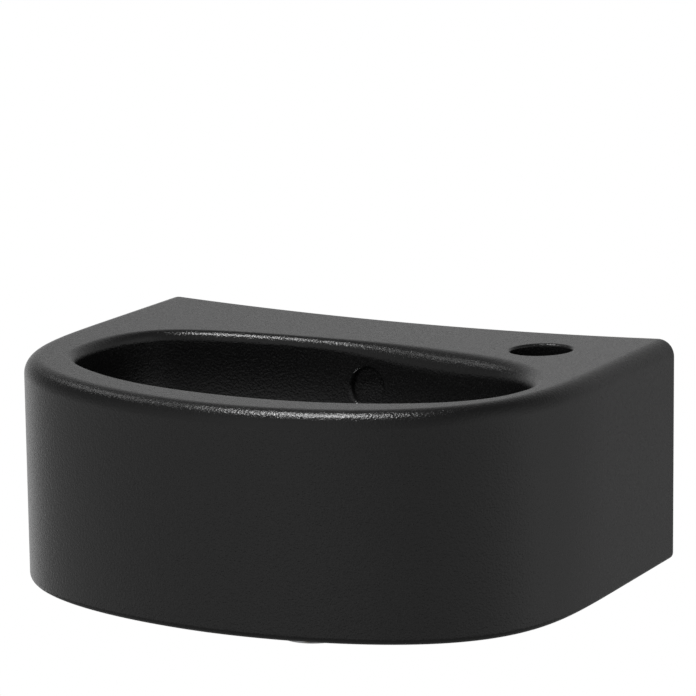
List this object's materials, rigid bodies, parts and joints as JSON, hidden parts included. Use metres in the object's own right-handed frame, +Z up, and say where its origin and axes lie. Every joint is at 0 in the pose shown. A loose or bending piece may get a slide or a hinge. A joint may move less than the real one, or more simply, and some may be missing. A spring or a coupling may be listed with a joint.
{
  "type": "wall-hung hand basin",
  "caption": "Small wall-hung hand basin in matt black china with a bowed front, a deck tap hole on the right, an overflow and a fitted push-push waste.",
  "frame": {"origin": "midway between the two wall-fixing holes, on the plane of the wall", "axes": "+Z up; +Y into the wall, so the bowed front faces -Y; +X along the wall, to the right of a person facing the basin, towards the tap hole"},
  "size_m": [0.33, 0.25, 0.1569],
  "materials": {
    "matt_black_glaze": "matt black glaze with a fine grain",
    "chrome": "polished chrome plate on brass",
    "brass": "turned, unplated",
    "clear_washer": "translucent polyethylene",
    "white_washer": "soft white rubber",
    "black_rubber": "matt",
    "black_plastic": "moulded",
    "white_plastic": "moulded acetal",
    "spring_steel": "drawn wire"
  },
  "bodies": {
    "basin_set": {"basin": "matt_black_glaze", "waste_body": "chrome", "flange_gasket": "clear_washer", "conical_washer": "white_washer", "backnut": "brass", "cartridge_barrel": "brass", "rod_guide": "white_plastic", "rod_seal": "black_rubber", "end_cap": "brass", "barrel_locknut": "brass", "cartridge_spring": "spring_steel"},
    "plug": {"plug_cap": "chrome", "plug_seal": "black_rubber", "seal_carrier": "black_plastic", "plug_stud": "brass", "plunger_rod": "brass", "rotor_clip": "spring_steel"},
    "rotor": {"ratchet_rotor": "white_plastic"}
  },
  "joints": [
    {"name": "plug_lift", "type": "slide", "parent": "basin_set", "child": "plug", "axis": [0, 0, 1], "range_m": [0, 0.009], "deforming": ["cartridge_spring"]},
    {"name": "rotor_turn", "type": "hinge", "parent": "plug", "child": "rotor", "pos_m": [0.004, -0.135, -0.063], "axis": [0, 0, 1], "range_deg": [0, 45]}
  ],
  "couplings": [
    {"joint": "rotor_turn", "follows": "plug_lift", "rad_per_m": 87.257}
  ]
}
